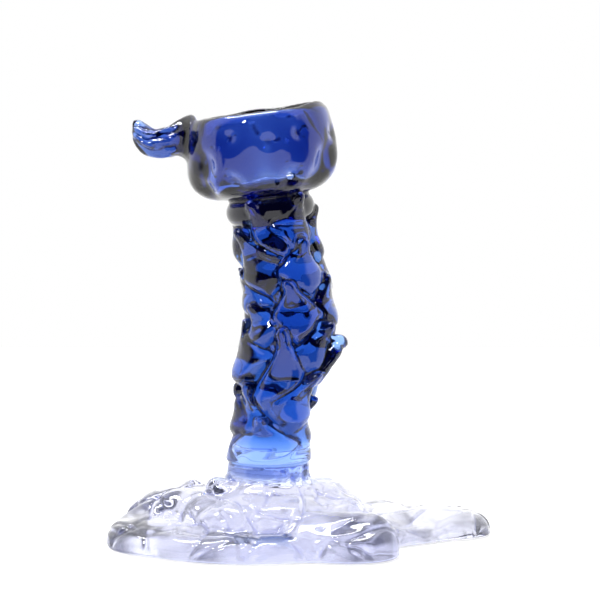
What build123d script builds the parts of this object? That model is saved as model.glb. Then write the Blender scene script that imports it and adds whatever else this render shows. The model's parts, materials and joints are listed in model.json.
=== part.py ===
from build123d import *
import math
import os

# Hot-worked glass candlestick: a puddled clear foot, a bowed cobalt stem dressed with scale-shaped bits,
# a collar wrap, and an open cup with a curled tail. Every gather of glass is its own solid, trimmed so
# that it meets its neighbours face to face where the real ones are fused.
# Millimetres. +Z is up, +Y is away from the front, and the origin is the foot's bottom centre.

# ---------------------------------------------------------------- driving dimensions
FOOT_HEIGHT = 12.0
FOOT_TOP_ROUND = 7.5
FOOT_BOTTOM_ROUND = 1.5
LOBE_HEIGHT = 9.0
LOBE_TOP_ROUND = 5.5
TONGUE_HEIGHT = 15.5
TONGUE_TOP_ROUND = 8.0
POUR_HEIGHT = 9.5
POUR_TOP_ROUND = 7.0

NECK_BOTTOM = FOOT_HEIGHT + POUR_HEIGHT
NECK_TOP = 38.0
CUFF_TOP = 49.0
STEM_TOP = 172.0

CUP_TILT = 7.0
CUP_BASE = (-15.5, 0.0, 166.0)
CUP_BASE_RADIUS = 20.5
CUP_BELLY_RADIUS = 36.0
CUP_BELLY_HEIGHT = 19.0
CUP_RIM_RADIUS = 33.0
CUP_HEIGHT = 41.5
WELL_RADIUS = 29.0
WELL_FLOOR = 6.5
WELL_WALL_START = 12.0
WELL_WALL_END = 36.0
WELL_FLARE = 1.0
LIP_ROUND = 1.3
WAY_IN = 20.0

COLLAR_RADIUS = 22.0
COLLAR_BOTTOM = -12.5
COLLAR_ROUND = 5.0

# ---------------------------------------------------------------- outlines seen from above
FOOT_OUTLINE = [
    (-92.4, -14), (-84, 14), (-58, 38), (-24, 54), (14, 59.4), (44, 50),
    (52, 22), (46, -14), (30, -42), (-2, -57), (-38, -59.4), (-72, -43),
]
LOBE_OUTLINE = [
    (34, -24), (58, -16), (77, 0), (92, 19), (86, 38), (66, 50), (38, 54), (22, 20),
]
TONGUE_OUTLINE = [
    (-6, -46.8), (16, -58.8), (38, -54.8), (46, -40.8), (40, -25.8), (20, -16.8), (-4, -24.8),
]
POUR_OUTLINE = [
    (-66, 4), (-52, 26), (-24, 38), (8, 36), (28, 20), (30, -4), (18, -26),
    (-10, -38), (-36, -36), (-56, -20),
]

# Round gathers, bottom up. Each section is its height, centre x and radius.
NECK_SKIRT = [(NECK_BOTTOM, -17.0, 31.0), (25.5, -17.5, 27.0), (30.0, -17.5, 22.0)]
NECK = [(NECK_BOTTOM, -17.0, 20.5), (29.0, -16.2, 19.2), (NECK_TOP, -15.4, 18.8)]
CUFF = [(NECK_TOP, -15.3, 18.0), (40.5, -15.1, 20.2), (44.5, -14.8, 19.8), (CUFF_TOP, -14.6, 17.0)]
STEM = [
    (CUFF_TOP, -14.6, 17.0),
    (60, -13.6, 15.8),
    (76, -11.0, 16.6),
    (94, -6.4, 18.2),
    (110, -5.4, 18.4),
    (128, -8.2, 17.8),
    (146, -11.8, 17.2),
    (STEM_TOP, -16.2, 17.2),
]

# Drops on the foot.
DRIP_CENTRE = (-56.0, -6.0, 19.0)
DRIP_RADIUS = 5.2
DRIP_STRETCH = (2.1, 1.0, 0.9)
DRIP_FALL = 16.0
DRIP_TURN = 24.0
BEAD_CENTRE = (-40.5, -12.0, 28.0)
BEAD_RADIUS = 4.6

# The bits that dress the stem, upper rows first. A later one laps over an earlier one.
# name: (root turn, root height, tip turn, tip height, width, lift of the tip)
# A turn is in degrees round the stem from the front, positive towards +X.
SCALES = {
    "scale_top_left": (3, 130, -38, 163, 27, 2.5),
    "scale_top_right": (42, 134, 38, 167, 24, 3.0),
    "scale_top_right_back": (98, 134, 92, 160, 26, 1.5),
    "scale_top_back": (152, 132, 148, 162, 27, 2.0),
    "scale_top_left_back": (-118, 130, -108, 160, 28, 1.5),
    "scale_top_rear_left": (-162, 133, -156, 164, 26, 2.0),
    "scale_upper_left": (-26, 116, -60, 150, 27, 2.0),
    "scale_upper_right": (42, 112, 31, 145, 26, 3.0),
    "scale_upper_right_back": (122, 110, 116, 143, 29, 2.5),
    "scale_upper_back": (178, 112, 172, 145, 28, 2.0),
    "scale_upper_left_back": (-134, 110, -128, 141, 29, 2.5),
    "scale_middle_far_left": (-52, 102, -80, 131, 26, 3.0),
    "scale_middle_front": (11, 98, 0, 126, 27, 3.0),
    "scale_middle_far_right": (60, 100, 80, 129, 26, 2.0),
    "scale_middle_right_back": (146, 92, 140, 123, 30, 2.5),
    "scale_middle_left_back": (-158, 90, -152, 122, 30, 2.5),
    "scale_waist_left": (-38, 90, -54, 114, 23, 1.5),
    "scale_waist_back_left": (-112, 84, -106, 114, 28, 2.0),
    "scale_waist_far_left": (-52, 74, -82, 106, 26, 2.5),
    "scale_waist_right": (34, 76, 64, 106, 25, 2.0),
    "scale_waist_right_back": (112, 74, 106, 108, 29, 2.5),
    "scale_waist_back": (176, 72, 170, 105, 30, 2.5),
    "scale_thorn_right": (56, 78, 76, 99, 14, 7.0),
    "scale_low_left_back": (-132, 62, -126, 94, 28, 2.5),
    "scale_low_front": (16, 53, -10, 105, 27, 3.5),
    "scale_low_right": (32, 54, 60, 82, 24, 4.5),
    "scale_low_right_back": (146, 54, 138, 86, 29, 2.5),
    "scale_hem_far_left": (-88, 50, -82, 75, 26, 2.0),
    "scale_hem_left": (-54, 50, -37, 76, 23, 2.5),
    "scale_hem_back": (-172, 48, -178, 73, 30, 2.0),
    "scale_hem_right": (78, 46, 84, 68, 27, 1.5),
    "scale_hem_front": (-14, 40, -20, 60, 28, 1.5),
}
SCALE_ROOT_PROUD = 0.8
SCALE_TIP_PROUD = 2.2
SCALE_DEPTH = 9.0
SCALE_TIP_ROUND = 0.16
SCALE_CROWN = 0.8

# The tail's sections: centre x, y, z, half height, half depth.
TAIL = [
    (-46.0, 0.0, 197.0, 8.2, 6.4),
    (-56.5, -1.5, 194.4, 8.0, 6.2),
    (-65.0, -3.0, 192.0, 7.4, 5.8),
    (-70.8, -3.6, 192.2, 6.4, 5.2),
    (-75.0, -3.4, 195.4, 5.2, 4.2),
    (-77.4, -2.6, 199.6, 3.4, 2.8),
    (-78.2, -2.0, 202.4, 1.2, 1.2),
]


def biggest(shape):
    """The largest solid of a shape, so that a trimmed gather keeps no crumbs."""
    return max(shape.solids(), key=lambda solid: solid.volume)


def near(a, b):
    """True if two shapes' boxes meet, so that trimming one by the other can matter."""
    p, q = a.bounding_box(), b.bounding_box()
    lows = zip(tuple(p.min), tuple(q.max))
    highs = zip(tuple(q.min), tuple(p.max))
    return all(low <= high for low, high in (*lows, *highs))


def trimmed(shape, *others):
    """The shape with its neighbours' space taken out of it."""
    for other in others:
        if near(shape, other):
            shape = biggest(shape - other)
    return shape


def pool(outline, height, top_round, bottom_round=0.0, floor=0.0):
    """A puddle of glass: a smooth closed outline, raised to a height, with rounded edges."""
    face = make_face(Spline(outline, periodic=True))
    body = Pos(0, 0, floor) * extrude(face, height)
    ranked = body.edges().sort_by(Axis.Z)
    body = fillet(ranked[-1], top_round)
    if bottom_round:
        body = fillet(body.edges().sort_by(Axis.Z)[0], bottom_round)
    return biggest(body)


def stem_at(height):
    """The stem's centre x and bare radius at a height, straight between the listed ones."""
    for (z0, x0, r0), (z1, x1, r1) in zip(STEM, STEM[1:]):
        if height <= z1:
            share = max(0.0, (height - z0) / (z1 - z0))
            return x0 + share * (x1 - x0), r0 + share * (r1 - r0)
    return STEM[-1][1:]


def on_stem(turn, height, proud):
    """A point that stands proud of the bare stem, at a turn from the front."""
    x, radius = stem_at(height)
    reach = radius + proud
    angle = math.radians(turn)
    return Vector(x + reach * math.sin(angle), -reach * math.cos(angle), height)


def turned(sections):
    """An upright round gather through sections of height, centre x and radius."""
    return biggest(loft([Pos(x, 0, height) * Circle(radius) for height, x, radius in sections]))


# ---------------------------------------------------------------- foot
def make_foot_puddle():
    return pool(FOOT_OUTLINE, FOOT_HEIGHT, FOOT_TOP_ROUND, FOOT_BOTTOM_ROUND)


def make_right_lobe():
    return pool(LOBE_OUTLINE, LOBE_HEIGHT, LOBE_TOP_ROUND, FOOT_BOTTOM_ROUND)


def make_front_tongue():
    return pool(TONGUE_OUTLINE, TONGUE_HEIGHT, TONGUE_TOP_ROUND, FOOT_BOTTOM_ROUND)


def make_upper_pour():
    return pool(POUR_OUTLINE, POUR_HEIGHT, POUR_TOP_ROUND, floor=FOOT_HEIGHT)


def make_neck_skirt():
    """A fold of clear glass that climbs the neck."""
    return turned(NECK_SKIRT)


def make_side_drip():
    """A stretched drop that ran down over the left shoulder of the upper pour."""
    drop = scale(Sphere(DRIP_RADIUS), by=DRIP_STRETCH)
    return Pos(*DRIP_CENTRE) * Rot(0, -DRIP_FALL, DRIP_TURN) * drop


def make_drip_bead():
    """A round bead caught against the skirt on the left."""
    return Pos(*BEAD_CENTRE) * Sphere(BEAD_RADIUS)


# ---------------------------------------------------------------- stem
def make_neck():
    return turned(NECK)


def make_cuff():
    """The rounded hem where the blue glass ends and the clear neck begins."""
    return turned(CUFF)


def make_stem_core():
    return turned(STEM)


def leaf_outline(length, width):
    """A leaf seen from outside the stem: two arcs that meet in a pointed root and a rounded tip."""
    root, tip = (0, -length / 2), (0, length / 2)
    right = ThreePointArc(root, (width / 2, 0), tip)
    left = ThreePointArc(tip, (-width / 2, 0), root)
    face = make_face(Curve() + [right, left])
    return fillet(face.vertices().sort_by(Axis.Y)[-1], SCALE_TIP_ROUND * width)


def make_scale(root_turn, root_height, tip_turn, tip_height, width, lift):
    """A leaf-shaped bit, laid from its root up the stem, crowned across, with its tip lifted clear."""
    root = on_stem(root_turn, root_height, 0)
    tip = on_stem(tip_turn, tip_height, 0)
    middle = (root + tip) / 2
    run = (tip - root).normalized()
    angle = math.radians((root_turn + tip_turn) / 2)
    across = run.cross(Vector(math.sin(angle), -math.cos(angle), 0)).normalized()
    outward = across.cross(run)
    bare = on_stem((root_turn + tip_turn) / 2, (root_height + tip_height) / 2, 0)
    bow = (bare - middle).dot(outward)

    length = (tip - root).length
    root_top = bow + SCALE_ROOT_PROUD
    tip_top = bow + SCALE_TIP_PROUD + lift
    slope = math.degrees(math.atan2(tip_top - root_top, length))
    blade = Pos(0, 0, -SCALE_DEPTH) * extrude(leaf_outline(length, width), SCALE_DEPTH + 2 * tip_top)
    crown = SCALE_CROWN * width
    tube = Pos(0, 0, (root_top + tip_top) / 2 - crown) * Rot(90 + slope, 0, 0) * Cylinder(crown, 2 * length)
    return biggest(Plane(origin=middle, x_dir=across, z_dir=outward) * (blade & tube))


# ---------------------------------------------------------------- top
def cup_plane():
    tilt = math.radians(CUP_TILT)
    across = (math.cos(tilt), 0, math.sin(tilt))
    up = (-math.sin(tilt), 0, math.cos(tilt))
    return Plane(origin=CUP_BASE, x_dir=across, z_dir=up)


def make_collar():
    """A thick wrap of dark glass under the cup."""
    height = -COLLAR_BOTTOM
    ring = Pos(0, 0, COLLAR_BOTTOM + height / 2) * Cylinder(COLLAR_RADIUS, height)
    ring = fillet(ring.edges().sort_by(Axis.Z)[0], COLLAR_ROUND)
    ring = fillet(ring.edges().sort_by(Axis.Z)[-1], COLLAR_ROUND / 2)
    return biggest(cup_plane() * ring)


def make_cup_blank():
    """The cup's outside, filled in: a round bottom that turns up into a barrel-shaped side."""
    belly = (CUP_BELLY_RADIUS, CUP_BELLY_HEIGHT)
    bottom = TangentArc(belly, (CUP_BASE_RADIUS, 0), tangent=(0, -1))
    side = TangentArc(belly, (CUP_RIM_RADIUS, CUP_HEIGHT), tangent=(0, 1))
    rest = Polyline((CUP_RIM_RADIUS, CUP_HEIGHT), (0, CUP_HEIGHT), (0, 0), (CUP_BASE_RADIUS, 0))
    profile = make_face(Curve() + [bottom, side, rest])
    return revolve(Plane.XZ * profile, Axis.Z)


def make_well():
    """The hollow for the candle: a rounded floor, a true cylindrical wall and a flared mouth."""
    mouth = WELL_RADIUS + WELL_FLARE
    floor_edge = (WELL_RADIUS - (WELL_WALL_START - WELL_FLOOR), WELL_FLOOR)
    wall = Line((WELL_RADIUS, WELL_WALL_START), (WELL_RADIUS, WELL_WALL_END))
    flare = Line((WELL_RADIUS, WELL_WALL_END), (mouth, CUP_HEIGHT))
    top = Polyline((mouth, CUP_HEIGHT), (0, CUP_HEIGHT), (0, WELL_FLOOR), floor_edge)
    turn = TangentArc(floor_edge, (WELL_RADIUS, WELL_WALL_START), tangent=(1, 0))
    profile = make_face(Curve() + [wall, flare, top, turn])
    return revolve(Plane.XZ * profile, Axis.Z)


def make_cup():
    bowl = make_cup_blank() - make_well()
    lip = bowl.edges().group_by(Axis.Z)[-1]
    bowl = fillet(lip, LIP_ROUND)
    return biggest(cup_plane() * bowl)


def make_way_in():
    """The space over the rim that a candle comes down through, which the tail keeps out of."""
    return cup_plane() * Pos(0, 0, CUP_HEIGHT + WAY_IN / 2) * Cylinder(CUP_RIM_RADIUS, WAY_IN)


def make_tail():
    """The curled tail pulled out of the cup's left wall."""
    sections = []
    for i, (x, y, z, high, deep) in enumerate(TAIL):
        before, after = TAIL[max(i - 1, 0)], TAIL[min(i + 1, len(TAIL) - 1)]
        run = Vector(*[b - a for a, b in zip(before[:3], after[:3])]).normalized()
        across = Vector(0, 1, 0).cross(run).normalized()
        sections.append(Plane(origin=(x, y, z), x_dir=across, z_dir=run) * Ellipse(high, deep))
    return biggest(loft(sections))


def main():
    os.makedirs("parts", exist_ok=True)
    solid_cup = biggest(cup_plane() * make_cup_blank())
    parts = {}

    tongue = make_front_tongue()
    foot = trimmed(make_foot_puddle(), tongue)
    parts["front_tongue"] = tongue
    parts["foot_puddle"] = foot
    parts["right_lobe"] = trimmed(make_right_lobe(), make_foot_puddle(), tongue)

    neck = make_neck()
    cuff = make_cuff()
    parts["neck"] = neck
    skirt = trimmed(make_neck_skirt(), neck)
    parts["upper_pour"] = trimmed(make_upper_pour(), tongue)
    bead = make_drip_bead()
    drip = make_side_drip()
    parts["neck_skirt"] = skirt
    parts["drip_bead"] = trimmed(bead, skirt, parts["upper_pour"])
    parts["side_drip"] = trimmed(drip, skirt, parts["upper_pour"], foot)

    parts["cup"] = make_cup()
    core = trimmed(make_stem_core(), solid_cup)
    parts["stem_core"] = core

    laid = []
    for name, numbers in reversed(SCALES.items()):
        bit = make_scale(*numbers)
        parts[name] = trimmed(bit, *laid, solid_cup, core)
        laid.append(bit)
    parts["cuff"] = trimmed(cuff, *laid)
    parts["collar_wrap"] = trimmed(make_collar(), *laid, core)
    parts["tail"] = trimmed(make_tail(), solid_cup, make_way_in())

    for name, solid in parts.items():
        solid.label = name
        export_step(solid, f"parts/{name}.step")
    box = Compound(list(parts.values())).bounding_box()
    print(len(parts), "parts", box)


main()
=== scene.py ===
import json
import math

import bmesh
import bpy
import numpy as np
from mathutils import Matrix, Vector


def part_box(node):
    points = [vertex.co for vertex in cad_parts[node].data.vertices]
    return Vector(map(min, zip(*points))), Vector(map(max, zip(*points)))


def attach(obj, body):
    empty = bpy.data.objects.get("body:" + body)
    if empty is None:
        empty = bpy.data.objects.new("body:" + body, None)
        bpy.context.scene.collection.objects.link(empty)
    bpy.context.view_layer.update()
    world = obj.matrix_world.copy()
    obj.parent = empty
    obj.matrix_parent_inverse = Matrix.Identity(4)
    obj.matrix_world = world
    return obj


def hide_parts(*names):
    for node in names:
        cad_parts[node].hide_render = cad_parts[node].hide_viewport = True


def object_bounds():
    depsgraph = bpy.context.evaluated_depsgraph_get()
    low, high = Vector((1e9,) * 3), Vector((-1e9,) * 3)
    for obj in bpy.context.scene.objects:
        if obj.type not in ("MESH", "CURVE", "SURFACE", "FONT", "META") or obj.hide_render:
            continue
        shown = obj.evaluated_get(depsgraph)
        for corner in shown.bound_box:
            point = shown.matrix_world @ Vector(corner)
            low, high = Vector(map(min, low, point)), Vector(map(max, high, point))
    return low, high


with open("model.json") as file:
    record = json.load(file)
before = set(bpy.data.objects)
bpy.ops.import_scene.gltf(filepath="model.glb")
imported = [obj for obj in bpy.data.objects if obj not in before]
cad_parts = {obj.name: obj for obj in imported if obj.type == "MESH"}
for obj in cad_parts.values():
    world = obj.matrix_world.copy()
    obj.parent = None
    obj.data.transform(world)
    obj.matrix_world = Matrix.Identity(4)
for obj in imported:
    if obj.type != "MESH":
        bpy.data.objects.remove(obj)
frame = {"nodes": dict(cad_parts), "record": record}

import openvdb
from mathutils import Vector

cad_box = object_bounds()

# The glass is sculpted as a distance field on one grid, in millimetres, and turned into meshes in metres.
# Negative is inside the glass. Gathers are melted into each other, as hot glass does, and the whole skin
# is then cut at its joints into closed pieces.
MM = 0.001
STEP = 0.65
FAR = 50.0

FOOT_NODES = [
    "foot_puddle", "right_lobe", "front_tongue", "upper_pour", "neck_skirt", "side_drip", "drip_bead",
]
SCALE_NODES = sorted(name for name in frame["nodes"] if name.startswith("scale_"))


# ---------------------------------------------------------------- camera
CAMERA_SIDE = -0.0005
CAMERA_DISTANCE = 1.0
CAMERA_HEIGHT = 0.210
CAMERA_PITCH = math.radians(5.33)
LENS = 125.4


def make_camera():
    data = bpy.data.cameras.new("camera")
    data.lens = LENS
    data.sensor_width = 36.0
    data.clip_end = 50.0
    camera = bpy.data.objects.new("camera", data)
    camera.location = (CAMERA_SIDE, -CAMERA_DISTANCE, CAMERA_HEIGHT)
    camera.rotation_euler = (math.pi / 2 - CAMERA_PITCH, 0, 0)
    bpy.context.scene.collection.objects.link(camera)
    bpy.context.scene.camera = camera


# ---------------------------------------------------------------- the grid and what is done to it
def soft_min(a, b, melt):
    """The nearer of two surfaces, with the corner between them melted over a width."""
    blend = np.maximum(melt - np.abs(a - b), 0.0) / melt
    return np.minimum(a, b) - blend * blend * melt * 0.25


def soft_max(a, b, melt):
    return -soft_min(-a, -b, melt)


def ease(value, low, high):
    """0 below low, 1 above high, smooth between."""
    t = np.clip((value - low) / (high - low), 0.0, 1.0)
    return t * t * (3.0 - 2.0 * t)


class Clay:
    """A block of space in millimetres, with the distance to the glass at each grid point."""

    def __init__(self, low, high):
        self.start = np.floor(np.array(low) / STEP).astype(int)
        self.counts = np.ceil(np.array(high) / STEP).astype(int) - self.start + 1
        self.field = np.full(self.counts, FAR, np.float32)

    def region(self, low, high):
        """The slices between two corners, and the grid's x, y and z there."""
        first = np.maximum(np.floor(np.array(low) / STEP).astype(int) - self.start, 0)
        last = np.minimum(np.ceil(np.array(high) / STEP).astype(int) - self.start + 1, self.counts)
        cut = tuple(slice(a, b) for a, b in zip(first, last))
        places = [STEP * (self.start[i] + np.arange(first[i], last[i], dtype=np.float32)) for i in range(3)]
        x, y, z = np.meshgrid(*places, indexing="ij", sparse=True)
        return cut, x, y, z

    def add(self, low, high, shape, melt):
        cut, x, y, z = self.region(low, high)
        self.field[cut] = soft_min(self.field[cut], shape(x, y, z), melt)

    def push(self, low, high, amount):
        """Moves the surface inwards by amount(x, y, z)."""
        cut, x, y, z = self.region(low, high)
        self.field[cut] += amount(x, y, z)

    def node(self, name, margin=6.0):
        """The distance to a CAD node, as a shape for add()."""
        mesh = frame["nodes"][name].data
        mesh.calc_loop_triangles()
        corners = np.empty(len(mesh.loop_triangles) * 3, np.int32)
        mesh.loop_triangles.foreach_get("vertices", corners)
        grid = openvdb.FloatGrid.createLevelSetFromPolygons(
            points(name).astype(np.float32),
            triangles=corners.reshape(-1, 3).astype(np.uint32),
            transform=openvdb.createLinearTransform(voxelSize=STEP),
            halfWidth=margin / STEP,
        )

        def shape(x, y, z):
            found = np.empty((x.size, y.size, z.size), np.float32)
            corner = [int(round(float(axis.flat[0]) / STEP)) for axis in (x, y, z)]
            grid.copyToArray(found, ijk=tuple(corner))
            return found

        low, high = corners_of(name)
        return low - margin, high + margin, shape

    def skin(self):
        """The surface as points in metres and quads that face out of the glass."""
        grid = openvdb.FloatGrid(FAR)
        grid.copyFromArray(self.field, ijk=tuple(int(n) for n in self.start))
        grid.transform = openvdb.createLinearTransform(voxelSize=STEP * MM)
        return grid.convertToQuads(0.0)


def points(name):
    """A CAD node's vertices, in millimetres."""
    mesh = frame["nodes"][name].data
    flat = np.empty(len(mesh.vertices) * 3, np.float32)
    mesh.vertices.foreach_get("co", flat)
    return flat.reshape(-1, 3) / MM


def corners_of(name):
    low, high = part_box(name)
    return np.array(low) / MM, np.array(high) / MM


def wobble(seed, size, count=5):
    """A smooth wandering value of about -1 to 1, whose humps are about size apart."""
    rng = np.random.default_rng(seed)
    waves = rng.normal(size=(count, 3))
    waves *= (2.0 * math.pi / size / np.linalg.norm(waves, axis=1) * rng.uniform(0.7, 1.3, count))[:, None]
    phases = rng.uniform(0.0, 2.0 * math.pi, count)

    def value(x, y, z):
        total = 0.0
        for (a, b, c), phase in zip(waves, phases):
            total = total + np.sin(a * x + b * y + c * z + phase)
        return total / math.sqrt(count)

    return value


# ---------------------------------------------------------------- stem
def section(name, place, normal):
    """The points where a CAD node's mesh edges pass through a plane, in millimetres."""
    mesh = frame["nodes"][name].data
    ends = np.empty(len(mesh.edges) * 2, np.int32)
    mesh.edges.foreach_get("vertices", ends)
    p = points(name)[ends.reshape(-1, 2)]
    depth = (p - np.array(place)) @ np.array(normal)
    crossing = (depth[:, 0] > 0) != (depth[:, 1] > 0)
    p, depth = p[crossing], depth[crossing]
    share = depth[:, :1] / (depth[:, :1] - depth[:, 1:])
    return p[:, 0] + share * (p[:, 1] - p[:, 0])


def lathe_of(name):
    """Heights, centre x and radius along an upright round node."""
    low, high = corners_of(name)
    rows = []
    for height in np.linspace(low[2] + 0.2, high[2] - 0.2, 24):
        cut = section(name, (0, 0, height), (0, 0, 1))
        left, right = cut[:, 0].min(), cut[:, 0].max()
        rows.append((height, (left + right) / 2, (right - left) / 2))
    return np.array(rows)


core = lathe_of("stem_core")
core = core[core[:, 0] < core[-1, 0] - 6.0]
neck = lathe_of("neck")
hem = lathe_of("cuff")
trunk = np.vstack([neck[neck[:, 0] < hem[0, 0]], core])
HEM_LOW, HEM_HIGH = hem[0, 0], hem[-1, 0]
# How far the glass stands outside the CAD's round stem, in millimetres.
HEM_PROUD = 2.4
NECK_PROUD = 1.2
FLUTE_DEPTH = 1.0


def trunk_x(z):
    return np.interp(z, trunk[:, 0], trunk[:, 1]).astype(np.float32)


def trunk_radius(z):
    return np.interp(z, trunk[:, 0], trunk[:, 2]).astype(np.float32)


def bare_trunk(x, y, z):
    """The stem without its bits: a fluted neck, the rounded hem of the blue gather, and the core above."""
    turn = np.arctan2(x - trunk_x(z), -y)
    below_hem = 1.0 - ease(z, HEM_LOW - 1.0, HEM_LOW + 0.5)
    hem_swell = ease(z, HEM_LOW - 0.8, HEM_LOW + 2.0) * (1.0 - ease(z, HEM_LOW + 6.0, HEM_HIGH + 24.0))
    wavy = 0.35 * np.sin(3.0 * turn + 0.4) + 0.25 * np.sin(5.0 * turn + 2.0)
    flutes = ease(np.cos(turn - 1.1), 0.45, 0.95) * (0.5 - 0.5 * np.cos(15.0 * turn))
    flutes = FLUTE_DEPTH * (flutes + 0.15 * np.sin(7.0 * turn + 1.0))
    grown = NECK_PROUD * below_hem + HEM_PROUD * hem_swell * (1.0 + 0.2 * wavy) - flutes * below_hem
    return np.hypot(x - trunk_x(z), y) - trunk_radius(z) - grown


def leaf_of(name):
    """Where a bit lies on the stem: its middle, its run from root to tip, its size and its tip's lift."""
    p = points(name)
    turn = np.arctan2(p[:, 0] - trunk_x(p[:, 2]), -p[:, 1])
    reach = np.hypot(p[:, 0] - trunk_x(p[:, 2]), p[:, 1]) - trunk_radius(p[:, 2])
    centre = math.atan2(np.sin(turn).mean(), np.cos(turn).mean())
    across = np.angle(np.exp(1j * (turn - centre))) * (trunk_radius(p[:, 2]) + 2.0)
    up = p[:, 2]
    top = up > up.max() - 2.0
    foot = up < up.min() + 3.0
    tip = np.array([across[top].mean(), up[top].mean()])
    root = np.array([across[foot].mean(), up[foot].mean()])
    run = tip - root
    length = float(np.hypot(*run)) + 3.0
    run /= np.hypot(*run)
    sideways = across * run[1] - up * run[0]
    width = float(np.percentile(sideways, 98) - np.percentile(sideways, 2))
    middle = (tip + root) / 2
    return {
        "turn": centre,
        "across": float(middle[0]),
        "height": float(middle[1]),
        "run": run,
        "length": length,
        "width": width,
        "lift": float(reach[top].max()),
    }


# Shares of a bit's length are counted from its root; heights above the bare stem are in millimetres.
LEAF_WIDEST = 0.42
LEAF_MARGIN = 1.5
LEAF_PROUD = 5.0
FOOT_PROUD = 2.2
HEM_LEAF_PROUD = 3.0
LEAF_EDGE = 2.0
# Bits that stand further out than the rest.
SWOLLEN = {"scale_waist_far_left": 3.2, "scale_hem_far_left": 1.8, "scale_low_right": 1.2}
FINGER_RADIUS = 3.6
FINGER_LIFT = 5.6
HEM_FOOT_PROUD = 0.2
THORN_LIFT = 6.0
THORN_RADIUS = 4.2
BACK_FLATNESS = 0.85
# Turns from the front, in degrees, between which the front fades out and the back fades in.
FRONT_ENDS = (42.0, 70.0)
BACK_BEGINS = (82.0, 108.0)
LEAF_MELT = 0.5
FRONT_PULL = 2.4
GROOVE_DEPTH = 1.1
GROOVE_WIDTH = 1.6


def add_leaf(clay, name, seed):
    """A bit of hot glass laid on the stem: a pillow with a pointed foot, drawn up to a lifted finger."""
    leaf = leaf_of(name)
    rng = np.random.default_rng(seed)
    thorn = "thorn" in name
    half_length = leaf["length"] / 2 + LEAF_MARGIN
    half_width = leaf["width"] / 2 + LEAF_MARGIN
    # The fingers at the front stand out furthest.
    facing = 1.0 - ease(abs(math.degrees(leaf["turn"])), *FRONT_ENDS)
    finger_lift = FINGER_LIFT + FRONT_PULL * facing + 0.3 * (leaf["lift"] - 5.0) + rng.uniform(-0.3, 0.3)
    if thorn:
        finger_lift = THORN_LIFT
    leaf_proud = HEM_LEAF_PROUD if "hem" in name else LEAF_PROUD
    leaf_proud += SWOLLEN.get(name, 0.0)
    # The bits at the back lie flatter, so that less of them is seen through the stem. That is a guess.
    flat = BACK_FLATNESS * ease(abs(math.degrees(leaf["turn"])), *BACK_BEGINS)
    finger_lift = leaf_proud + (finger_lift - leaf_proud) * (1.0 - flat)
    channel = rng.uniform(0.2, 1.0)
    lean = rng.uniform(-0.12, 0.12)
    bend = rng.uniform(-3.0, 3.0)
    rough = wobble(seed, 15.0)

    low, high = corners_of(name)
    cut, x, y, z = clay.region(low - 9.0, high + 9.0)
    around = x - trunk_x(z)
    turn = np.angle(np.exp(1j * (np.arctan2(around, -y) - leaf["turn"]))).astype(np.float32)
    radius = np.hypot(around, y)
    bare = trunk_radius(z)
    proud = radius - bare
    across = turn * np.clip(radius, bare - 4.0, bare + 6.0) - leaf["across"]
    up = z - leaf["height"]
    # Along the bit, t runs from 0 at its root to 1 at its tip. u is the distance to one side of its middle.
    u = across * leaf["run"][1] - up * leaf["run"][0]
    v = across * leaf["run"][0] + up * leaf["run"][1]
    t = np.clip((v + half_length) / (2 * half_length), 0.0, 1.0)
    u = u + bend * (t * (1.0 - t)) * 2.0

    wide = half_width * np.clip(t / LEAF_WIDEST, 0.0, 1.0) ** 0.8 * (1.0 - ease(t, 0.36, 0.84))
    wide = wide + FINGER_RADIUS * ease(t, 0.42, 0.78)
    share = np.clip(u / np.maximum(wide, 0.5), -1.5, 1.5)
    finger = ease(t, 0.60, 0.86)
    foot_proud = HEM_FOOT_PROUD if "hem" in name else FOOT_PROUD
    spine = foot_proud + (leaf_proud - foot_proud) * ease(t, 0.0, 0.25) - 1.0 * ease(t, 0.28, 0.58)
    spine = spine + (finger_lift - leaf_proud + 1.0) * ease(t, 0.15 if thorn else 0.56, 0.95)
    pillow = 2.9 * np.abs(share) ** 2.4 * (1.0 - finger) + 2.4 * share**2 * finger
    hollow = channel * np.exp(-((share / 0.50) ** 2)) * ease(t, 0.30, 0.52) * (1.0 - ease(t, 0.72, 0.90))
    top = spine - pillow - hollow * (1.0 - flat) + lean * u + 0.15 * rough(x, y, z)
    side = np.abs(u) - wide
    past_end = np.maximum(np.abs(v) - half_length + FINGER_RADIUS, 0.0)
    past = np.hypot(past_end, np.maximum(side + FINGER_RADIUS, 0.0))
    rim = np.maximum(side, past - FINGER_RADIUS)
    bit = soft_max(proud - top, rim * 0.9, LEAF_EDGE)
    groove = GROOVE_DEPTH * (1.0 - flat) * np.exp(-((rim / GROOVE_WIDTH) ** 2)) * ease(t, 0.10, 0.45)
    clay.field[cut] = soft_min(clay.field[cut] + groove, bit, LEAF_MELT)
    if thorn:
        root = (low[0] + 3.0, low[1] + 4.0, low[2] + 2.0)
        tip = (high[0] - 2.5, (low[1] + high[1]) / 2, high[2] - 2.0)
        clay.add(*capsule(root, tip, THORN_RADIUS), 1.5)


# ---------------------------------------------------------------- cup and tail
well = next(m for m in frame["record"]["mounts"] if m["name"] == "candle_well")
well_centre = np.array(well["pos_m"]) / MM
well_axis = np.array(well["axis"])
well_radius = well["dims"]["r_mm"]
cup_points = points("cup") - well_centre
cup_along = cup_points @ well_axis
cup_base = well_centre + well_axis * cup_along.min()
CUP_HEIGHT = float(cup_along.max() - cup_along.min())
WELL_FLOOR = 6.0
WELL_ROUND = 9.0
RIM_ROUND = 3.5
RIM_RISE = 3.4
RIM_WAVE = 1.2
COLLAR_RADIUS = 21.4
COLLAR_ROUND = 7.2
COLLAR_DROP = 5.5
# Within this distance of the collar's own surface, in millimetres, the glass takes the collar's near-black
# painted shade.
COLLAR_SKIN = 1.2

BRIM_MELT = 9.0
BASE_MELT = 6.0

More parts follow.
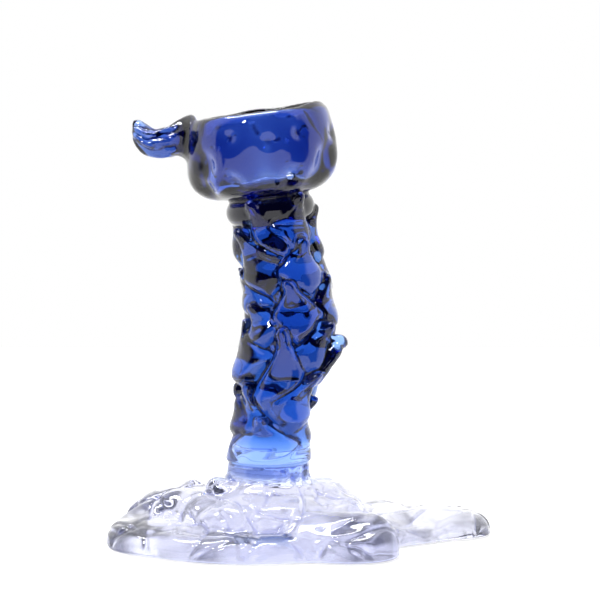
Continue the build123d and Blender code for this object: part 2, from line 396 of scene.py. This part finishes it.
# Marks pushed into the cup's wall: turn from the front in degrees, height above the cup's base, size, depth.
# A mark smaller than POINTED also has a sharp point at its middle. A depth below zero is a bulge.
POINTED = 3.0
POINT_SIZE = 0.8
POINT_DEPTH = 0.7
POKES = [
    (-24, 30.7, 2.6, 1.4),
    (6, 27.0, 2.6, 1.4),
    (31, 29.5, 2.4, 1.4),
    (72, 27.0, 2.6, 1.4),
    (112, 30.0, 2.6, 1.4),
    (150, 26.5, 2.5, 1.4),
    (188, 29.5, 2.6, 1.4),
    (226, 27.5, 2.6, 1.4),
]
PINCHES = [
    (24, 8.0, 4.0, 5.0),
    (-51, 18.9, 4.5, 5.0),
    (-28, 9.5, 3.4, 4.4),
    (-62, 8.0, 4.0, 4.0),
    (2, 13.0, 8.0, 2.8),
    (58, 15.0, 4.6, 5.2),
    (48, 6.0, 5.0, 3.5),
    (100, 16.0, 5.0, 4.0),
    (140, 8.0, 4.5, 4.0),
    (182, 14.0, 6.0, 4.0),
    (222, 8.0, 4.5, 4.0),
    (-88, 8.0, 8.0, -2.6),
]


def cup_frame(x, y, z):
    """Distance along the cup's axis from its base, distance from the axis, and the two sideways parts."""
    dx, dy, dz = x - cup_base[0], y - cup_base[1], z - cup_base[2]
    along = dx * well_axis[0] + dy * well_axis[1] + dz * well_axis[2]
    side = dx * well_axis[2] - dz * well_axis[0]
    return along, np.hypot(side, dy), side, dy


def cup_profile():
    """The cup's outer radius at heights above its base."""
    heights = np.linspace(0.2, CUP_HEIGHT - 0.2, 30)
    radii = []
    for height in heights:
        reach = section("cup", cup_base + height * well_axis, well_axis) - cup_base
        radii.append(np.linalg.norm(reach - np.outer(reach @ well_axis, well_axis), axis=1).max())
    return heights, np.array(radii)


cup_heights, cup_radii = cup_profile()


def cup_shape(x, y, z):
    along, radius, side, dy = cup_frame(x, y, z)
    outer = np.interp(along, cup_heights, cup_radii)
    brim = CUP_HEIGHT + RIM_RISE + RIM_WAVE * (side * 0.8 + dy * 0.4) / well_radius
    body = soft_max((radius - outer) * 0.96, along - brim, BRIM_MELT)
    body = soft_max(body, -along, BASE_MELT)
    for turn, height, size, depth in POKES + PINCHES:
        angle = math.radians(turn)
        reach = float(np.interp(height, cup_heights, cup_radii))
        sideways = (side - reach * math.sin(angle)) ** 2 + (dy + reach * math.cos(angle)) ** 2
        away = sideways + (along - height) ** 2
        body = body + depth * np.exp(-away / (2.0 * size * size))
        if size < POINTED:
            body = body + POINT_DEPTH * np.exp(-away / (2.0 * POINT_SIZE * POINT_SIZE))
    return body.astype(np.float32)


def well_shape(x, y, z):
    """The well for the candle, open upwards."""
    along, radius, _, _ = cup_frame(x, y, z)
    return soft_max(radius - well_radius, WELL_FLOOR - along, WELL_ROUND)


ROOT_REACH = 9.0
TAIL_MELT = 5.0


def tail_shape(clay):
    """The tail with lengthwise folds, and the thick plug of glass that joins it to the cup."""
    low, high, bare = clay.node("tail")
    p = points("tail")
    stations = np.linspace(p[:, 0].min(), p[:, 0].max(), 14)
    middle_y = np.array([p[np.abs(p[:, 0] - s) < 3.0][:, 1].mean() for s in stations])
    middle_z = np.array([p[np.abs(p[:, 0] - s) < 3.0][:, 2].mean() for s in stations])
    root = p[p[:, 0] > p[:, 0].max() - 5.0]
    root_x, root_y, root_z = p[:, 0].max(), root[:, 1].mean(), root[:, 2].mean()
    root_half = (root[:, 2].max() - root[:, 2].min()) / 2

    def shape(x, y, z):
        dy = y - np.interp(x, stations, middle_y)
        dz = z - np.interp(x, stations, middle_z)
        angle = np.arctan2(dz, dy)
        folds = np.sin(6.0 * angle + 0.22 * x) * 0.6 + np.sin(11.0 * angle - 0.3 * x) * 0.25
        folds = folds * ease(np.hypot(dy, dz), 1.5, 4.0) * ease(root_x - x, -4.0, 8.0)
        across = ((y - root_y) ** 2 + (z - root_z) ** 2) / root_half**2
        plug = np.sqrt(((x - root_x - 2.0) / ROOT_REACH) ** 2 + across)
        return soft_min(bare(x, y, z) + folds, (plug - 1.0) * root_half, TAIL_MELT).astype(np.float32)

    return low, high, shape


def collar_shape(x, y, z):
    """The thick ring wrapped round the stem under the cup."""
    along, radius, _, _ = cup_frame(x, y, z)
    outwards = np.maximum(radius - COLLAR_RADIUS + COLLAR_ROUND, 0.0)
    return (np.hypot(outwards, along + COLLAR_DROP) - COLLAR_ROUND).astype(np.float32)


# ---------------------------------------------------------------- foot
# Folds and lumps of the clear pour: centre, half sizes, then how far each melts into the rest.
LUMPS = [
    ((-58, 6, 8), (27, 25, 17), 7.0),
    ((10, 8, 15), (16, 18, 14), 4.0),
    ((-26, -27, 12), (22, 15, 13), 3.0),
    ((-52, 8, 19), (9, 11, 10), 3.0),
    ((-2, -24, 13), (15, 13, 11), 3.0),
    ((-46, -14, 15), (14, 13, 11), 3.0),
    ((-20, 26, 16), (24, 14, 12), 4.0),
    ((66, 9, 3), (27, 15, 11), 5.0),
    ((-64, -22, 2), (25, 19, 12), 5.0),
]
TONGUE_ENDS = ((4, -39, 6.5), (31, -42, 6.5))
TONGUE_RADIUS = 14.5
REGION_MARGIN = 5.0


def capsule(start, end, radius):
    """A round-ended rod, with the corners of the region that holds it, as add() takes them."""
    start, end = np.array(start, float), np.array(end, float)
    run = end - start

    def shape(x, y, z):
        dx, dy, dz = x - start[0], y - start[1], z - start[2]
        share = np.clip((dx * run[0] + dy * run[1] + dz * run[2]) / (run @ run), 0.0, 1.0)
        away = (dx - share * run[0]) ** 2 + (dy - share * run[1]) ** 2 + (dz - share * run[2]) ** 2
        return (np.sqrt(away) - radius).astype(np.float32)

    margin = radius + REGION_MARGIN
    return np.minimum(start, end) - margin, np.maximum(start, end) + margin, shape


def lump(centre, halves):
    """A ball stretched to these half sizes, with the corners of the region that holds it."""

    def shape(x, y, z):
        a = (x - centre[0]) / halves[0]
        b = (y - centre[1]) / halves[1]
        c = (z - centre[2]) / halves[2]
        reach = np.sqrt(a * a + b * b + c * c)
        return ((reach - 1.0) * min(halves)).astype(np.float32)

    reach = np.array(halves) + REGION_MARGIN
    return np.array(centre) - reach, np.array(centre) + reach, shape


CREASE_WIDTH = 0.13
CREASE_DEPTH = 0.7


def foot_ripples(x, y, z):
    """Slow flow waves towards the rim, and the crumpled folds near the stem."""
    reach = np.hypot(x + 17.0, y)
    slow = wobble(11, 46.0)(x, y, z) * 0.35 * ease(reach, 30, 50)
    folds = wobble(12, 22.0)(x, y, z * 0.5) * 0.8 * (1.0 - ease(reach, 40, 62))
    # Thin creases where one fold of the pour ran over another.
    creases = 0.0
    for seed in (14, 15, 16):
        creases = creases + np.exp(-((wobble(seed, 42.0)(x, y, z) / CREASE_WIDTH) ** 2)) * CREASE_DEPTH
    return ((slow + creases + folds * ease(z, 4.0, 12.0)) * ease(z, 1.0, 5.0)).astype(np.float32)


# ---------------------------------------------------------------- sculpt
# How far the parts melt into each other, in millimetres.
FOOT_MELT = 5.0
TONGUE_MELT = 2.0
TRUNK_MELT = 4.0
COLLAR_MELT = 1.2
CUP_MELT = 1.6
BOTTOM_MELT = 1.5
BOTTOM_CLEARANCE = 0.35
FOOT_TOP = 34.0
UNEVENNESS = 0.15


def sculpt():
    """The whole candlestick as one distance field."""
    low, high = (np.array(corner) / MM for corner in (cad_box[0], cad_box[1]))
    clay = Clay(low - 4.0, high + 4.0)
    for name in FOOT_NODES:
        clay.add(*clay.node(name), FOOT_MELT)
    for centre, halves, melt in LUMPS:
        clay.add(*lump(centre, halves), melt)
    clay.add(*capsule(*TONGUE_ENDS, TONGUE_RADIUS), TONGUE_MELT)
    foot_high = np.array([high[0] + 4, high[1] + 4, FOOT_TOP])
    clay.push(low - 4.0, foot_high, foot_ripples)
    trunk_low = np.array([trunk[:, 1].min() - 28, -28, trunk[0, 0] - 6])
    trunk_high = np.array([trunk[:, 1].max() + 28, 28, trunk[-1, 0] + 8])
    clay.add(trunk_low, trunk_high, bare_trunk, TRUNK_MELT)
    for seed, name in enumerate(SCALE_NODES):
        add_leaf(clay, name, seed + 1)
    cup_low, cup_high = corners_of("cup")
    collar_low, collar_high = cup_base - np.array([30, 30, 20]), cup_base + np.array([30, 30, 12])
    clay.add(collar_low, collar_high, collar_shape, COLLAR_MELT)
    clay.add(cup_low - 6.0, cup_high + 6.0, cup_shape, CUP_MELT)
    clay.add(*tail_shape(clay), TAIL_MELT)
    cut, x, y, z = clay.region(cup_low - 2.0, cup_high + 6.0)
    clay.field[cut] = soft_max(clay.field[cut], -well_shape(x, y, z), RIM_ROUND)
    hand_made = wobble(21, 24.0)
    clay.push(trunk_low, high + 4.0, lambda x, y, z: (UNEVENNESS * hand_made(x, y, z)).astype(np.float32))
    # The bottom is flat, with a small round edge.
    cut, x, y, z = clay.region(low - 4.0, np.array([high[0] + 4, high[1] + 4, 6.0]))
    clay.field[cut] = soft_max(clay.field[cut], BOTTOM_CLEARANCE - z, BOTTOM_MELT)
    return clay


def new_mesh(name, verts, faces):
    mesh = bpy.data.meshes.new(name)
    mesh.from_pydata(verts.tolist(), [], faces.tolist())
    mesh.update()
    return mesh


def smooth_mesh(mesh, rounds):
    """Evens out the grid's last trace."""
    bm = bmesh.new()
    bm.from_mesh(mesh)
    every_way = {"use_axis_x": True, "use_axis_y": True, "use_axis_z": True}
    for _ in range(rounds):
        bmesh.ops.smooth_vert(bm, verts=bm.verts, factor=0.5, **every_way)
    bm.to_mesh(mesh)
    bm.free()


SMOOTH_ROUNDS = 3
CREASE_REACH = 14


def mark_relief(mesh):
    """Stores two values at each point, for the materials.

    relief is how far the point stands out of the even shape around it, in millimetres. It is below zero in
    a crease.
    wrapped is 1 on the collar's own surface and 0 elsewhere. The materials paint shade in the creases from
    relief, and a near-black shade on the collar from wrapped.
    """
    count = len(mesh.vertices)
    place = np.empty(count * 3, np.float32)
    facing = np.empty(count * 3, np.float32)
    ends = np.empty(len(mesh.edges) * 2, np.int32)
    mesh.vertices.foreach_get("co", place)
    mesh.vertex_normals.foreach_get("vector", facing)
    mesh.edges.foreach_get("vertices", ends)
    place, facing, ends = place.reshape(-1, 3), facing.reshape(-1, 3), ends.reshape(-1, 2)
    starts, stops = np.concatenate([ends, ends[:, ::-1]]).T
    neighbours = np.bincount(starts, minlength=count)
    even = place.astype(float)
    for _ in range(CREASE_REACH):
        sums = [np.bincount(starts, weights=even[stops, i], minlength=count) for i in range(3)]
        even = 0.5 * even + 0.5 * np.stack(sums, axis=1) / neighbours[:, None]
    relief = ((place - even) * facing).sum(axis=1) / MM
    mesh.attributes.new("relief", "FLOAT", "POINT").data.foreach_set("value", relief.astype(np.float32))
    # Where the collar's surface takes its near-black painted shade.
    wrapped = ease(-np.abs(collar_shape(*(place.T / MM))), -COLLAR_SKIN, -COLLAR_SKIN / 2)
    mesh.attributes.new("wrapped", "FLOAT", "POINT").data.foreach_set("value", wrapped.astype(np.float32))


UNDERSIDE_HEIGHT = 0.0010
UNDERSIDE_FACING = -0.97
UNDERSIDE_ROUGHNESS = 0.22


def sliced(mesh, name, planes):
    """A closed piece of the skin: what lies behind every plane, with its cuts closed by joint faces.

    The joint faces and the faces that the foot rests on are marked by values that the materials read.
    """
    bm = bmesh.new()
    bm.from_mesh(mesh)
    for centre, normal in planes:
        geometry = bm.verts[:] + bm.edges[:] + bm.faces[:]
        made = bmesh.ops.bisect_plane(
            bm, geom=geometry, dist=1e-7, plane_co=centre, plane_no=normal, clear_outer=True
        )
        rim = [e for e in made["geom_cut"] if isinstance(e, bmesh.types.BMEdge) and e.is_boundary]
        filled = bmesh.ops.triangle_fill(bm, use_beauty=True, edges=rim, normal=normal)
        for face in filled["geom"]:
            if isinstance(face, bmesh.types.BMFace):
                face.material_index = 1
    bmesh.ops.recalc_face_normals(bm, faces=bm.faces)
    piece = bpy.data.meshes.new(name)
    bm.to_mesh(piece)
    bm.free()
    joint = piece.attributes.new("joint", "FLOAT", "FACE")
    underside = piece.attributes.new("underside", "FLOAT", "FACE")
    for polygon in piece.polygons:
        polygon.use_smooth = True
        joint.data[polygon.index].value = float(polygon.material_index)
        if polygon.normal.z < UNDERSIDE_FACING and polygon.center.z < UNDERSIDE_HEIGHT:
            underside.data[polygon.index].value = 1.0
        polygon.material_index = 0
    return piece


# ---------------------------------------------------------------- node helpers
def attribute(tree, name):
    """A value stored on the mesh."""
    node = tree.nodes.new("ShaderNodeAttribute")
    node.attribute_name = name
    return node.outputs["Fac"]


def band(tree, source, low, high, interpolation="SMOOTHSTEP"):
    """0 where the source is at low, 1 where it is at high."""
    node = tree.nodes.new("ShaderNodeMapRange")
    node.interpolation_type = interpolation
    node.inputs["From Min"].default_value = low
    node.inputs["From Max"].default_value = high
    tree.links.new(source, node.inputs["Value"])
    return node.outputs["Result"]


def maths(tree, operation, *terms):
    """The result of an operation on sockets or numbers."""
    node = tree.nodes.new("ShaderNodeMath")
    node.operation = operation
    for socket, term in zip(node.inputs, terms):
        feed(tree, socket, term)
    return node.outputs["Value"]


def blend(tree, share, a, b, kind="FLOAT"):
    """a where share is 0, b where it is 1."""
    node = tree.nodes.new("ShaderNodeMix")
    node.data_type = kind
    tree.links.new(share, node.inputs["Factor"])
    socket_type = "VALUE" if kind == "FLOAT" else "RGBA"
    ends = [socket for socket in node.inputs if socket.name in ("A", "B") and socket.type == socket_type]
    for socket, term in zip(ends, (a, b)):
        feed(tree, socket, term)
    return next(socket for socket in node.outputs if socket.type == socket_type)


def feed(tree, socket, term):
    """Links a socket to another, or sets it to a number or a colour."""
    if isinstance(term, bpy.types.NodeSocket):
        tree.links.new(term, socket)
    elif isinstance(term, tuple):
        socket.default_value = (*term, 1.0)
    else:
        socket.default_value = term


# ---------------------------------------------------------------- materials
REFRACTION = 1.5
# Relief, in millimetres, at the bottom of a crease and where the crease begins; in between, the surface fades
# into its painted crease shade.
CREASE_CORE = -0.15
CREASE_EDGE = -0.055
WAVE_STRENGTH = 0.05
WAVE_HEIGHT = 0.0006
STEM_WAVES = 40.0
FOOT_WAVES = 25.0
# The volume's colour has to stay above zero in the channel that is taken out most.
ABSORPTION_ROOM = 1.03


def glass(name, depths, skins, waves, underside_roughness=0.0):
    """Clear fire-polished glass that takes this much red, green and blue out of the light per metre of depth.

    The skins are tints of the surface, for look only: the open one is the glass's own tint, and the darker
    one is painted shade in the creases, which helps the bits stand out from each other. The collar's own
    surface gets a near-black painted shade. Light passes straight through a joint, because the gathers on
    both sides of it are one mass of glass.
    """
    material = bpy.data.materials.new(name)
    material.use_nodes = True
    tree = material.node_tree
    shader = tree.nodes["Principled BSDF"]
    output = tree.nodes["Material Output"]
    shader.inputs["Transmission Weight"].default_value = 1.0
    shader.inputs["Roughness"].default_value = 0.0
    shader.inputs["IOR"].default_value = REFRACTION

    # Painted shade: the surface turns to the darker crease tint where the relief is low.
    open_skin, crease = skins
    openness = band(tree, attribute(tree, "relief"), CREASE_CORE, CREASE_EDGE, "LINEAR")
    tint = blend(tree, openness, crease, open_skin, "RGBA")
    # Painted shade: a near-black tint over the collar's own surface.
    tint = blend(tree, attribute(tree, "wrapped"), tint, COLLAR_PAINTED_SHADE, "RGBA")
    tree.links.new(tint, shader.inputs["Base Color"])

    where = tree.nodes.new("ShaderNodeTexCoord")
    noise = tree.nodes.new("ShaderNodeTexNoise")
    noise.inputs["Scale"].default_value = waves
    noise.inputs["Detail"].default_value = 1.0
    bump = tree.nodes.new("ShaderNodeBump")
    bump.inputs["Strength"].default_value = WAVE_STRENGTH
    bump.inputs["Distance"].default_value = WAVE_HEIGHT
    tree.links.new(where.outputs["Object"], noise.inputs["Vector"])
    tree.links.new(noise.outputs["Fac"], bump.inputs["Height"])
    tree.links.new(bump.outputs["Normal"], shader.inputs["Normal"])

    if underside_roughness:
        chilled = maths(tree, "MULTIPLY", attribute(tree, "underside"), underside_roughness)
        tree.links.new(chilled, shader.inputs["Roughness"])

    straight_through = tree.nodes.new("ShaderNodeBsdfTransparent")
    surface = tree.nodes.new("ShaderNodeMixShader")
    tree.links.new(attribute(tree, "joint"), surface.inputs[0])
    tree.links.new(shader.outputs["BSDF"], surface.inputs[1])
    tree.links.new(straight_through.outputs["BSDF"], surface.inputs[2])
    tree.links.new(surface.outputs["Shader"], output.inputs["Surface"])

    density = max(depths) * ABSORPTION_ROOM
    volume = tree.nodes.new("ShaderNodeVolumeAbsorption")
    volume.inputs["Color"].default_value = (*[1.0 - depth / density for depth in depths], 1.0)
    volume.inputs["Density"].default_value = density
    tree.links.new(volume.outputs["Volume"], output.inputs["Volume"])
    return material


# Light that each glass takes out, per metre of depth, in red, green and blue.
CLEAR = (4.2, 3.9, 1.0)
NECK_TINT = (32.0, 24.0, 5.5)
PALE_BLUE = (32.0, 22.0, 5.0)
COBALT = (100.0, 62.0, 26.0)
COLLAR_COBALT = (130.0, 90.0, 26.0)
DEEP_COBALT = (300.0, 220.0, 88.0)

# Tints of the surface: the glass's own tint on open skin, then painted shade in the creases. The collar's own
# surface has one near-black tint, painted shade for the dark of the thick ring.
CLEAR_TINT_AND_CREASE_SHADE = ((1.0, 1.0, 1.0), (0.50, 0.52, 0.78))
PALE_TINT_AND_CREASE_SHADE = ((0.80, 0.88, 1.0), (0.10, 0.16, 0.50))
BLUE_TINT_AND_CREASE_SHADE = ((0.44, 0.58, 0.92), (0.001, 0.002, 0.015))
CUP_TINT_AND_CREASE_SHADE = ((0.70, 0.80, 1.0), (0.02, 0.03, 0.15))
# Near-black painted shade on the collar's surface, for the dark of the thick ring.
COLLAR_PAINTED_SHADE = (0.004, 0.004, 0.02)


# ---------------------------------------------------------------- studio
WHITE = 1.6
SEEN_THROUGH = 1.15
DARK = 0.02
DIM = 0.12
# Where each bright card of the room begins and where it is at its full strength, as the x, y or z part of
# the direction towards it.
BACKDROP = (0.4, 0.7)
BACK_WALL = (-0.45, -0.20)
OVERHEAD = (0.86, 0.90)
TABLE_TOP = (-0.10, -0.14)
TABLE_LEFT = (-0.90, -0.80)
TABLE_RIGHT = (0.55, 0.45)


def make_world():
    """A room that is white behind, above and on the table and dark in front, for the dark edges in glass.

    What is seen directly, mirrored in the glass and seen through the glass have a brightness of their own,
    which no real room has.
    """
    world = bpy.data.worlds.new("studio")
    bpy.context.scene.world = world
    world.use_nodes = True
    tree = world.node_tree
    background = tree.nodes["Background"]
    background.inputs["Color"].default_value = (1, 1, 1, 1)
    where = tree.nodes.new("ShaderNodeTexCoord")
    split = tree.nodes.new("ShaderNodeSeparateXYZ")
    tree.links.new(where.outputs["Generated"], split.inputs["Vector"])
    x, y, z = (split.outputs[axis] for axis in "XYZ")

    overhead = band(tree, z, *OVERHEAD)
    table = maths(tree, "MINIMUM", band(tree, x, *TABLE_LEFT), band(tree, x, *TABLE_RIGHT))
    table = maths(tree, "MINIMUM", table, band(tree, z, *TABLE_TOP))
    wall = maths(tree, "MAXIMUM", band(tree, y, *BACK_WALL), overhead)
    mirrored = maths(tree, "MAXIMUM", wall, table)
    through = maths(tree, "MAXIMUM", band(tree, y, *BACKDROP), overhead)
    ray = tree.nodes.new("ShaderNodeLightPath")
    reflected = blend(tree, mirrored, DARK, WHITE)
    refracted = blend(tree, through, DIM, SEEN_THROUGH)
    strength = blend(tree, ray.outputs["Is Transmission Ray"], reflected, refracted)
    strength = blend(tree, ray.outputs["Is Camera Ray"], strength, 1.0)
    tree.links.new(strength, background.inputs["Strength"])


# Half widths of the table at its front and back edges, and how far forward and back those edges are.
TABLE_FRONT = 0.17
TABLE_BACK = 0.30
TABLE_NEAR = -0.13
TABLE_FAR = 0.8
TABLE_GREY = 0.5
TABLE_GLOW = 0.55


def make_floor():
    corners = [
        (-TABLE_FRONT, TABLE_NEAR, 0),
        (TABLE_FRONT, TABLE_NEAR, 0),
        (TABLE_BACK, TABLE_FAR, 0),
        (-TABLE_BACK, TABLE_FAR, 0),
    ]
    mesh = new_mesh("floor", np.array(corners, float), np.array([(0, 1, 2, 3)]))
    floor = bpy.data.objects.new("floor", mesh)
    bpy.context.scene.collection.objects.link(floor)
    material = bpy.data.materials.new("floor")
    material.use_nodes = True
    shader = material.node_tree.nodes["Principled BSDF"]
    shader.inputs["Base Color"].default_value = (TABLE_GREY, TABLE_GREY, TABLE_GREY, 1)
    shader.inputs["Emission Color"].default_value = (1, 1, 1, 1)
    shader.inputs["Emission Strength"].default_value = TABLE_GLOW
    shader.inputs["Roughness"].default_value = 0.9
    shader.inputs["Specular IOR Level"].default_value = 0.0
    mesh.materials.append(material)


def make_softbox(name, place, aim, size, power):
    data = bpy.data.lights.new(name, "AREA")
    data.shape = "RECTANGLE"
    data.size, data.size_y = size
    data.energy = power
    lamp = bpy.data.objects.new(name, data)
    lamp.location = place
    lamp.rotation_euler = (Vector(aim) - Vector(place)).to_track_quat("-Z", "Y").to_euler()
    bpy.context.scene.collection.objects.link(lamp)


# ---------------------------------------------------------------- pieces
# Two pieces that meet at a joint stand this far back from it, in metres, so that their faces never coincide.
HALF_GAP = 0.000005


def joint_planes():
    """Each joint as a point on it, in metres, and the way out of the piece below it."""
    axis = Vector(well_axis)
    seat = Vector(cup_base * MM)
    return {
        "foot_top": (Vector((0, 0, 0.0285)), Vector((0.06, 0.04, 1.0)).normalized()),
        "hem_bottom": (Vector((0, 0, 0.0378)), Vector((-0.03, 0.05, 1.0)).normalized()),
        "hem_top": (Vector((0, 0, 0.0475)), Vector((0.05, -0.10, 1.0)).normalized()),
        "stem_middle": (Vector((0, 0, 0.0800)), Vector((0.0, 0.0, 1.0))),
        "collar_bottom": (seat - axis * 0.0125, axis),
        "cup_seat": (seat + axis * 0.0008, axis),
        "tail_root": (Vector((-0.0530, 0.0, 0.19)), Vector((-1.0, 0.0, 0.08)).normalized()),
    }


def make_piece(skin, name, planes, material, stands_for, slot):
    mesh = sliced(skin, name, planes)
    mesh.materials.append(material)
    piece = bpy.data.objects.new(name, mesh)
    bpy.context.scene.collection.objects.link(piece)
    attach(piece, "root")
    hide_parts(*stands_for)
    print(name, len(mesh.polygons))


def make_pieces(skin):
    joints = joint_planes()

    def below(joint):
        centre, normal = joints[joint]
        return centre - normal * HALF_GAP, normal

    def above(joint):
        centre, normal = joints[joint]
        return centre + normal * HALF_GAP, -normal

    lower_bits, upper_bits = [], []
    for name in SCALE_NODES:
        low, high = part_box(name)
        in_upper = (low[2] + high[2]) / 2 > joints["stem_middle"][0].z
        (upper_bits if in_upper else lower_bits).append(name)

    clear = glass("clear_glass", CLEAR, CLEAR_TINT_AND_CREASE_SHADE, FOOT_WAVES, UNDERSIDE_ROUGHNESS)
    throat = glass("neck_glass", NECK_TINT, PALE_TINT_AND_CREASE_SHADE, FOOT_WAVES)
    pale = glass("pale_glass", PALE_BLUE, PALE_TINT_AND_CREASE_SHADE, FOOT_WAVES)
    blue = glass("blue_glass", COBALT, BLUE_TINT_AND_CREASE_SHADE, STEM_WAVES)
    cobalt = glass("cobalt_glass", COBALT, BLUE_TINT_AND_CREASE_SHADE, STEM_WAVES)
    deep = glass("deep_cobalt_glass", DEEP_COBALT, CUP_TINT_AND_CREASE_SHADE, STEM_WAVES)
    dark = glass("collar_glass", COLLAR_COBALT, CUP_TINT_AND_CREASE_SHADE, STEM_WAVES)

    # Name, where it is cut, its glass, the CAD nodes that it stands for and its slot.
    pieces = [
        ("clear_foot", [below("foot_top")], clear, FOOT_NODES, "clear_glass"),
        ("neck_gather", [above("foot_top"), below("hem_bottom")], throat, ["neck"], "pale_blue_glass"),
        ("pale_hem", [above("hem_bottom"), below("hem_top")], pale, ["cuff"], "cobalt_glass"),
        ("lower_stem", [above("hem_top"), below("stem_middle")], blue, lower_bits, "cobalt_glass"),
        (
            "upper_stem", [above("stem_middle"), below("collar_bottom")], cobalt,
            ["stem_core"] + upper_bits, "cobalt_glass",
        ),
        ("collar_band", [above("collar_bottom"), below("cup_seat")], dark, ["collar_wrap"], "cobalt_glass"),
        ("blue_cup", [above("cup_seat"), below("tail_root")], deep, ["cup"], "cobalt_glass"),
        ("curled_tail", [above("cup_seat"), above("tail_root")], deep, ["tail"], "cobalt_glass"),
    ]
    for piece in pieces:
        make_piece(skin, *piece)


# ---------------------------------------------------------------- everything
# Light has to cross many surfaces on its way through the folds of the foot.
BOUNCES = 24
BRIGHTEST_INDIRECT = 8.0


def main():
    make_camera()
    make_world()
    make_floor()
    make_softbox("overhead", (-0.30, 0.05, 1.30), (-0.05, 0, 0.15), (0.28, 1.0), 24)
    make_softbox("window", (-0.50, -0.80, 0.85), (0, 0, 0.12), (0.10, 0.22), 5)

    skin = new_mesh("skin", *sculpt().skin())
    smooth_mesh(skin, SMOOTH_ROUNDS)
    mark_relief(skin)
    make_pieces(skin)
    bpy.data.meshes.remove(skin)

    scene = bpy.context.scene
    scene.view_settings.view_transform = "Standard"
    scene.cycles.max_bounces = BOUNCES
    scene.cycles.transmission_bounces = BOUNCES
    scene.cycles.transparent_max_bounces = BOUNCES
    scene.cycles.sample_clamp_indirect = BRIGHTEST_INDIRECT


main()
